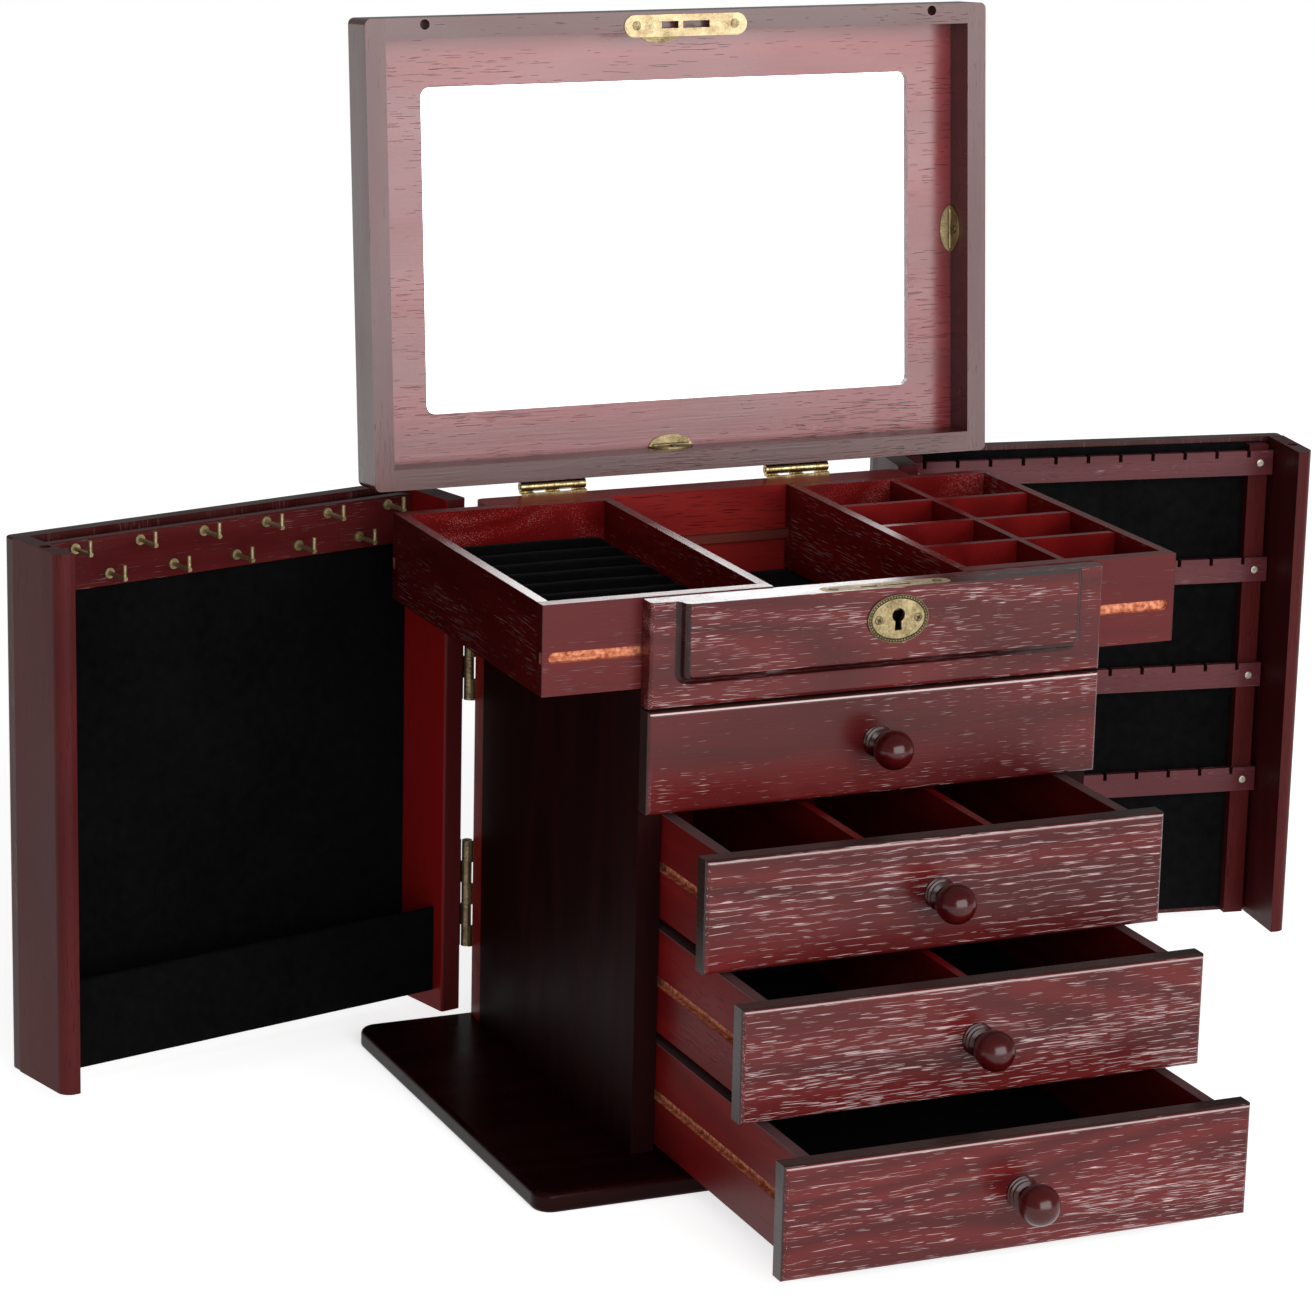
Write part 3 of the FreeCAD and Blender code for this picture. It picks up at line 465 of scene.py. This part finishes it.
def dress_case():
    dress(wood("side_wood", Z, Y, dense=0.2, rough=0.5, **CASE), "carcass_side_left", "carcass_side_right")
    rear = (face_test(Y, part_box("back_board")[1].y), 0.92, OUTER_COAT)
    dress(wood("back_wood", X, Z, dense=0.45, rough=0.32, coats_and_painted_light=[rear], **LIT_BACK), "back_board")
    dress(wood("base_wood", X, Y, dense=0.2, rough=0.27, seed=1.3, **CASE), "base_board")
    dress(wood("runner_wood_long", X, Z, dense=0.3, rough=0.55, **RUNNER), "tray_runners")
    dress(wood("runner_wood", Y, Z, dense=0.3, rough=0.6, **RUNNER), "drawer_runners")


def dress_lid():
    up = turned(LID, -Y)
    side_boards = beyond_test(X, 0.0, shut_box("lid_rim", LID)[1].x - RIM_BOARD)
    dress(wood("rim_wood", X, up, dense=0.15, rough=0.26, other=(side_boards, up, X), **RIM), "lid_rim")
    dress(wood("mirror_frame_wood", X, up, dense=0.25, rough=0.26, seed=0.9, figure=0.5, **MIRROR_FRAME),
          "mirror_frame")
    dress(wood("lid_top_wood", X, up, dense=0.7, seed=1.7, **OUTER), "lid_panel")
    dress(mirror_glass(), "mirror")


def dress_wings():
    for side, place in (("left", LEFT), ("right", RIGHT)):
        run = turned(place, -Y)
        dress(wood(side + "_panel_wood", Z, run, dense=0.7, rough=0.33, seed=0.4, **OUTER),
              side + "_wing_panel")
        rear = min(vertex.co.dot(run) for vertex in nodes[side + "_wing_stiles"].data.vertices)
        rear_stile = (face_test(run, rear + STILE_THICK), 0.9, STILE_COAT)
        dress(wood(side + "_stile_wood", Z, run, dense=0.3, rough=0.36, seed=1.1, coats_and_painted_light=[rear_stile],
                   **WING), side + "_wing_stiles")
    dress(wood("hook_board_wood", turned(LEFT, -Y), Z, dense=0.7, seed=0.2, **HOOK_BOARD), "hook_board")
    dress(wood("rail_wood", turned(RIGHT, -Y), Z, dense=0.5, **RAIL), "necklace_rails")
    dress(wood("post_wood", Z, turned(RIGHT, -Y), dense=0.3, **WING), "right_wing_posts")


def dress_metal():
    antique = brass("antique_brass", (0.36, 0.29, 0.16), (0.16, 0.12, 0.06), worn=0.4, rough=0.42)
    polished = brass("polished_brass", (0.42, 0.32, 0.16), (0.07, 0.045, 0.02), worn=0.35, rough=0.16)
    pale = brass("pale_brass", (0.46, 0.37, 0.22), (0.28, 0.20, 0.11), worn=0.6, rough=0.45, speck=1500)
    steel = brass("plated_steel", (0.50, 0.45, 0.37), (0.20, 0.17, 0.13), worn=0.6, rough=0.36)
    dark_brass = brass("dark_brass", (0.24, 0.18, 0.10), (0.07, 0.05, 0.03), worn=0.3, rough=0.3)
    lock = brass("lock_brass", (0.50, 0.40, 0.24), (0.28, 0.20, 0.11), worn=0.6, rough=0.45,
                 dark_below=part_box("lock_case")[1].z - 0.0004)
    dress(antique, "lock_bolt", "mirror_clips", "necklace_hooks", "escutcheon")
    dress(dark_brass, "wing_hinge_fixed_leaves", "left_wing_hinge_leaves", "right_wing_hinge_leaves")
    dress(lock, "lock_case")
    dress(polished, "lid_hinge_fixed_leaves", "lid_hinge_moving_leaves")
    dress(pale, "strike_plate")
    dress(dark_brass, "lock_screws", "lid_screws")
    dress(steel, "rail_screws")
    return antique


dress_fronts()
dress_drawer_boxes()
dress_trays()
dress_case()
dress_lid()
dress_wings()
antique_brass = dress_metal()
black_velvet = velvet("black_velvet", (0.0011, 0.0010, 0.0010), 0.02)
grey_velvet = velvet("grey_velvet", (0.0016, 0.0015, 0.0016), 0.03)


# ---- soft pieces ----
EDGE_STEPS = 4                     # rows of points in the rolled edge of a pad
BROAD_DIP, FINE_DIP = 38, 120      # how closely the dips in a pad's faces follow each other
LINER_THICK, POCKET_THICK = 0.0032, 0.0030
BATTEN_HIGH, LOW_BATTEN, HIGH_BATTEN = 0.022, 0.016, 0.238


def add_piece(name, mesh, body, node, material):
    """A smooth-shaded visual piece that rides a body and stands for a CAD node."""
    piece = bpy.data.objects.new(name, mesh)
    scene.collection.objects.link(piece)
    piece.data.materials.append(material)
    for face in mesh.polygons:
        face.use_smooth = True
    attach(piece, body)
    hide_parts(node)
    return piece


def finish_mesh(bm, name, place=HERE):
    bmesh.ops.recalc_face_normals(bm, faces=bm.faces)
    mesh = bpy.data.meshes.new(name)
    bm.to_mesh(mesh)
    bm.free()
    mesh.transform(place)
    return mesh


def rounding(gap, radius):
    """0 on the rim of a pad, rising to 1 a radius in, along a quarter circle."""
    share = min(max(gap / radius, 0.0), 1.0)
    return math.sqrt(1 - (1 - share) ** 2)


def stations(length, radius, pitch):
    """Places along one side of a pad, close together near its two edges."""
    edge = [radius * (1 - math.cos(math.pi / 2 * i / EDGE_STEPS)) for i in range(EDGE_STEPS)]
    count = max(2, round((length - 2 * radius) / pitch))
    inner = [radius + (length - 2 * radius) * i / count for i in range(count + 1)]
    return edge + inner + [length - e for e in reversed(edge)]


def pad_into(bm, low, high, thin, radius=0.0012, pitch=0.006, dip=0.0003, seed=0.0):
    """A cloth-covered board between two corners. thin is the index of its thin axis. The edges
    are rolled over and the faces dip unevenly, as cloth stretched over card does."""
    a, b = [i for i in range(3) if i != thin]
    across, along = stations(high[a] - low[a], radius, pitch), stations(high[b] - low[b], radius, pitch)
    middle, half = (low[thin] + high[thin]) / 2, (high[thin] - low[thin]) / 2
    grid = {}
    for sign in (-1, 1):
        for i, p in enumerate(across):
            for j, q in enumerate(along):
                rim = i in (0, len(across) - 1) or j in (0, len(along) - 1)
                if rim and sign > 0:
                    grid[sign, i, j] = grid[-1, i, j]
                    continue
                swell = rounding(min(p, across[-1] - p), radius) * rounding(min(q, along[-1] - q), radius)
                spot = Vector((p, q, sign + seed))
                uneven = 0.5 + 0.5 * noise.noise(spot * BROAD_DIP) + 0.3 * noise.noise(spot * FINE_DIP)
                co = [0.0, 0.0, 0.0]
                co[a], co[b] = low[a] + p, low[b] + q
                co[thin] = middle + sign * swell * (half - dip * max(0.0, uneven))
                grid[sign, i, j] = bm.verts.new(co)
    for sign in (-1, 1):
        for i in range(len(across) - 1):
            for j in range(len(along) - 1):
                bm.faces.new((grid[sign, i, j], grid[sign, i + 1, j], grid[sign, i + 1, j + 1],
                              grid[sign, i, j + 1]))


def velvet_pad(name, node, body, material, boxes=None, place=HERE, **shape):
    """One cloth-covered piece that stands for a node, made of one pad for each box."""
    if boxes is None:
        low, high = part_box(node)
        thin = min(range(3), key=lambda i: high[i] - low[i])
        boxes = [(low, high, thin)]
    seed = len(name) * 1.7             # differs from pad to pad
    bm = bmesh.new()
    for low, high, thin in boxes:
        pad_into(bm, low, high, thin, seed=seed, **shape)
    piece = add_piece(name, finish_mesh(bm, name, place), body, node, material)


def add_velvet_floors():
    for k in DRAWERS:
        velvet_pad("drawer_%d_lining" % k, "drawer_%d_bottom" % k, "drawer_%d" % k, black_velvet)
    velvet_pad("deck_lining", "deck_board", "carcass", black_velvet)
    for side in ("left", "right"):
        velvet_pad(side + "_tray_lining", side + "_tray_floor", side + "_tray", black_velvet)


def add_wing_linings():
    low, high = shut_box("left_wing_liner", LEFT)
    face_x = high.x - LINER_THICK
    boxes = [(Vector((face_x, low.y, low.z)), high, 0)]
    for z in (LOW_BATTEN, HIGH_BATTEN):
        boxes.append((Vector((low.x, low.y, z)), Vector((face_x, high.y, z + BATTEN_HIGH)), 0))
    velvet_pad("left_wing_lining", "left_wing_liner", "left_wing", black_velvet, boxes, LEFT)
    low, high = shut_box("left_wing_pocket", LEFT)
    front = (Vector((high.x - POCKET_THICK, low.y, low.z)), high, 0)
    floor = (low, Vector((high.x - POCKET_THICK, high.y, low.z + POCKET_THICK)), 2)
    velvet_pad("left_wing_pouch", "left_wing_pocket", "left_wing", black_velvet, [front, floor], LEFT,
               dip=0.0006)
    low, high = shut_box("right_wing_liner", RIGHT)
    velvet_pad("right_wing_lining", "right_wing_liner", "right_wing", grey_velvet,
               [(low, high, 0)], RIGHT, radius=0.0006)


# ---- ring rolls ----
ROLL_COUNT = 9
ROLL_SPACE = 0.0007                # between two rolls of the CAD
STUFFING = 0.0008                  # left free round a roll, for it to swell into
ROLL_END = 0.006                   # length over which a roll's ends draw in
END_LIP = 0.0004                   # keeps the end faces from drawing in all the way
ROLL_STEPS, ARC_STEPS = 22, 12
VOXEL, PRESSURE, CLOTH_FRAMES = 0.003, 4.0, 20
ROLL_WAVE = 0.0048                 # how unevenly the tops of the rolls lie
ROLL_MARGIN = 0.0001               # kept inside the CAD's rolls, above and below


def one_roll(width, depth, height):
    """A roll before it is stuffed: a flat-bottomed bar with a round top, drawn in at its ends."""
    bm = bmesh.new()
    rings = []
    for i in range(ROLL_STEPS + 1):
        x = width * (i / ROLL_STEPS - 0.5)
        end = rounding(width / 2 - abs(x) + END_LIP, ROLL_END)
        half = depth / 2 * (0.72 + 0.28 * end)
        top = height * (0.80 + 0.20 * end)
        ring = [(-half, 0.0), (half, 0.0)]
        for k in range(ARC_STEPS + 1):
            angle = math.pi * k / ARC_STEPS
            ring.append((half * math.cos(angle), top - half + half * math.sin(angle)))
        rings.append([bm.verts.new((x, y, z)) for y, z in ring])
    for near, far in zip(rings, rings[1:]):
        count = len(near)
        for k in range(count):
            bm.faces.new((near[k], near[(k + 1) % count], far[(k + 1) % count], far[k]))
    bm.faces.new(rings[0])
    bm.faces.new(rings[-1])
    return finish_mesh(bm, "roll")


def stuff(piece):
    """Inflate a shell by cloth simulation, with every point held near its start."""
    bpy.context.view_layer.objects.active = piece
    remesh = piece.modifiers.new("remesh", "REMESH")
    remesh.mode = "VOXEL"
    remesh.voxel_size = VOXEL
    bpy.ops.object.modifier_apply(modifier=remesh.name)
    start = [v.co.copy() for v in piece.data.vertices]
    cloth = piece.modifiers.new("cloth", "CLOTH")
    cloth.settings.use_pressure = True
    cloth.settings.uniform_pressure_force = PRESSURE
    cloth.settings.effector_weights.gravity = 0
    cloth.settings.mass = 0.2
    for number in range(1, CLOTH_FRAMES + 1):
        scene.frame_set(number)
    bpy.ops.object.modifier_apply(modifier=cloth.name)
    scene.frame_set(1)
    for vertex, origin in zip(piece.data.vertices, start):
        move = vertex.co - origin
        if move.length > STUFFING:
            vertex.co = origin + move * (STUFFING / move.length)


def copy_roll(bm, roll, number, low, high, pitch):
    """Put one roll in its place, every second one turned round, each with its own waves."""
    part = bmesh.new()
    part.from_mesh(roll.data)
    flip = -1 if number % 2 else 1
    centre = Vector(((low.x + high.x) / 2, low.y + pitch * (number + 0.5) - ROLL_SPACE / 2, low.z))
    for vertex in part.verts:
        x, y, z = vertex.co.x * flip, vertex.co.y, vertex.co.z
        wave = noise.noise(Vector((x * 30, number * 3.1, z * 20))) * ROLL_WAVE * z / high.z
        vertex.co = centre + Vector((x, y, max(0.0, z + wave)))
        vertex.co.z = min(max(vertex.co.z, low.z + ROLL_MARGIN), high.z - ROLL_MARGIN)
    scratch = bpy.data.meshes.new("roll_part")
    part.to_mesh(scratch)
    part.free()
    bm.from_mesh(scratch)
    bpy.data.meshes.remove(scratch)


def add_ring_rolls():
    low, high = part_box("ring_rolls")
    pitch = (high.y - low.y + ROLL_SPACE) / ROLL_COUNT
    mesh = one_roll(high.x - low.x - 2 * STUFFING, pitch - 2 * STUFFING, high.z - low.z - STUFFING)
    roll = bpy.data.objects.new("seed_roll", mesh)
    scene.collection.objects.link(roll)
    stuff(roll)
    bm = bmesh.new()
    for number in range(ROLL_COUNT):
        copy_roll(bm, roll, number, low, high, pitch)
    bpy.data.objects.remove(roll)
    piece = add_piece("ring_cushions", finish_mesh(bm, "ring_cushions"), "left_tray", "ring_rolls",
                      black_velvet)
    smooth = piece.modifiers.new("smooth", "SUBSURF")
    smooth.levels = smooth.render_levels = 1


add_velvet_floors()
add_wing_linings()
add_ring_rolls()


# ---- the oval keyhole plate ----
EYE_UP, EYE_R = 0.0016, 0.0030     # the keyhole's round eye: above the plate's centre, and radius
STEM_FOOT, STEM_TOP_HALF, STEM_FOOT_HALF = -0.0051, 0.0012, 0.0017
BEAD_INSET, BEAD_R, BEAD_COUNT = 0.00105, 0.00052, 54
BEAD_OUT = 0.0001                  # how far a bead's centre stands in front of the groove's floor
PLATE_DROP, GROOVE_DROP = 0.0002, 0.0007     # faces of the plate and groove behind the foremost level
PLATE_STEPS, OVAL_STEPS = 160, 2000


def keyhole_reach(angle):
    """Distance from the plate's centre to the edge of the keyhole, in one direction."""
    dx, dz = math.cos(angle), math.sin(angle)
    along = dz * EYE_UP
    eye = along + math.sqrt(along ** 2 - EYE_UP ** 2 + EYE_R ** 2)
    if dz >= 0:
        return eye
    slope = (STEM_FOOT_HALF - STEM_TOP_HALF) / (EYE_UP - STEM_FOOT)
    waist = STEM_TOP_HALF + slope * EYE_UP
    spread = abs(dx) + slope * dz
    side = waist / spread if spread > 0.000001 else math.inf
    return max(eye, min(side, STEM_FOOT / dz))


def oval_reach(a, b, angle):
    """Distance from the centre of an ellipse to its edge, in one direction."""
    return a * b / math.hypot(b * math.cos(angle), a * math.sin(angle))


def plate_rings(a, b, rim, back):
    """Rings from the keyhole out to the oval rim. Each has its distance from the centre as a
    function of direction, its depth, and whether the band on to the next ring is dark."""
    plate, groove = rim + PLATE_DROP, rim + GROOVE_DROP
    keyhole = [(0.0, back, True), (0.0, plate + 0.0002, False), (0.0003, plate, False),
               (0.0005, plate, False)]
    oval = [(0.0023, plate, False), (0.0020, plate, True), (0.0017, groove, True),
            (0.0004, groove, True), (0.0003, plate, False), (0.0001, plate, False),
            (0.0, groove, False), (0.0, back, False)]
    rings = [(lambda angle, out=out: keyhole_reach(angle) + out, y, dark) for out, y, dark in keyhole]
    rings += [(lambda angle, inset=inset: oval_reach(a - inset, b - inset, angle), y, dark)
              for inset, y, dark in oval]
    return rings


def loft(bm, centre, rings):
    """Join the rings, each to the next and the last to the first."""
    corners = [math.atan2(STEM_FOOT, sign * STEM_FOOT_HALF) % (2 * math.pi) for sign in (-1, 1)]
    angles = sorted([2 * math.pi * i / PLATE_STEPS for i in range(PLATE_STEPS)] + corners)
    loops = []
    for reach, y, dark in rings:
        loops.append([bm.verts.new((centre.x + reach(angle) * math.cos(angle), y,
                                    centre.z + reach(angle) * math.sin(angle))) for angle in angles])
    count = len(angles)
    for (_, _, dark), near, far in zip(rings, loops, loops[1:] + loops[:1]):
        for i in range(count):
            face = bm.faces.new((near[i], near[(i + 1) % count], far[(i + 1) % count], far[i]))
            face.material_index = 1 if dark else 0


def bead_spots(a, b):
    """Evenly spaced points round an ellipse."""
    turns = [2 * math.pi * i / OVAL_STEPS for i in range(OVAL_STEPS)]
    points = [(a * math.cos(turn), b * math.sin(turn)) for turn in turns]
    steps = [math.dist(points[i], points[(i + 1) % OVAL_STEPS]) for i in range(OVAL_STEPS)]
    pitch = sum(steps) / BEAD_COUNT
    spots = []
    left = 0.0
    for point, step in zip(points, steps):
        if left <= 0:
            spots.append(point)
            left += pitch
        left -= step
    return spots


def add_keyhole_plate():
    """A loft from the keyhole out to the oval rim, with a ring of beads in a groove."""
    low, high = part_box("escutcheon")
    centre = (low + high) / 2
    a, b = (high.x - low.x) / 2, (high.z - low.z) / 2
    bm = bmesh.new()
    loft(bm, centre, plate_rings(a, b, low.y, high.y))
    for x, z in bead_spots(a - BEAD_INSET, b - BEAD_INSET):
        place = Matrix.Translation((centre.x + x, low.y + GROOVE_DROP - BEAD_OUT, centre.z + z))
        bmesh.ops.create_uvsphere(bm, u_segments=10, v_segments=7, radius=BEAD_R, matrix=place)
    piece = add_piece("keyhole_plate", finish_mesh(bm, "keyhole_plate"), "carcass", "escutcheon",
                      antique_brass)
    piece.data.materials.append(patina())


add_keyhole_plate()


# ---- camera ----
CAMERA_AT = (-0.8621, -1.8140, 0.7376)
CAMERA_AZIMUTH, CAMERA_ELEVATION, CAMERA_ROLL = -23.61, 14.5, 1.31
CAMERA_LENS, CAMERA_SENSOR = 121.7, 36
CAMERA_SHIFT_X, CAMERA_SHIFT_Y = 0.0037, -0.00965


def add_camera():
    azimuth, elevation = math.radians(CAMERA_AZIMUTH), math.radians(CAMERA_ELEVATION)
    roll = math.radians(CAMERA_ROLL)
    back = Vector((math.sin(azimuth) * math.cos(elevation),
                   -math.cos(azimuth) * math.cos(elevation), math.sin(elevation)))
    level = Vector((math.cos(azimuth), math.sin(azimuth), 0))
    right = level * math.cos(roll) + back.cross(level) * math.sin(roll)
    data = bpy.data.cameras.new("camera")
    data.sensor_width = CAMERA_SENSOR
    data.lens = CAMERA_LENS
    data.shift_x = CAMERA_SHIFT_X
    data.shift_y = CAMERA_SHIFT_Y
    data.clip_end = 50
    camera = bpy.data.objects.new("camera", data)
    scene.collection.objects.link(camera)
    turn = Matrix((right, back.cross(right), back)).transposed().to_4x4()
    camera.matrix_world = Matrix.Translation(CAMERA_AT) @ turn
    scene.camera = camera


# ---- floor and light ----
FLOOR_REACH, FLOOR_GLOW = 8, 0.7
LIGHT_AT, LIGHT_AIM, LIGHT_SIZE, LIGHT_POWER = (0.4, -3.4, 1.2), (0.1, 0, 0.6), (4.0, 2.3), 172
WORLD_LIGHT = 0.28


def add_floor():
    """A pale floor that glows a little, so that shadows on it stay faint."""
    s = Shader("pale_floor")
    speck = s.noise(s.scaled(40, 40, 40))
    s.set(Base_Color=s.blend(speck, (0.93, 0.93, 0.93), (0.95, 0.95, 0.95)), Roughness=0.9)
    s.set(Specular_IOR_Level=0.1, Emission_Color=(1, 1, 1), Emission_Strength=FLOOR_GLOW)
    mesh = bpy.data.meshes.new("floor")
    corners = [(x * FLOOR_REACH, y * FLOOR_REACH, 0) for x, y in ((-1, -1), (1, -1), (1, 1), (-1, 1))]
    mesh.from_pydata(corners, [], [(0, 1, 2, 3)])
    floor = bpy.data.objects.new("floor", mesh)
    scene.collection.objects.link(floor)
    floor.data.materials.append(s.material)


def add_light():
    """One wide soft lamp in front, and an even white surrounding."""
    data = bpy.data.lights.new("front_window", "AREA")
    data.shape = "RECTANGLE"
    data.size, data.size_y = LIGHT_SIZE
    data.energy = LIGHT_POWER
    lamp = bpy.data.objects.new("front_window", data)
    scene.collection.objects.link(lamp)
    way = Vector(LIGHT_AIM) - Vector(LIGHT_AT)
    turn = way.to_track_quat("-Z", "Y").to_matrix().to_4x4()
    lamp.matrix_world = Matrix.Translation(LIGHT_AT) @ turn
    world = bpy.data.worlds.new("studio")
    world.use_nodes = True
    background = world.node_tree.nodes["Background"]
    background.inputs["Color"].default_value = (1, 1, 1, 1)
    background.inputs["Strength"].default_value = WORLD_LIGHT
    scene.world = world
    scene.view_settings.view_transform = "Standard"


add_camera()
add_floor()
add_light()
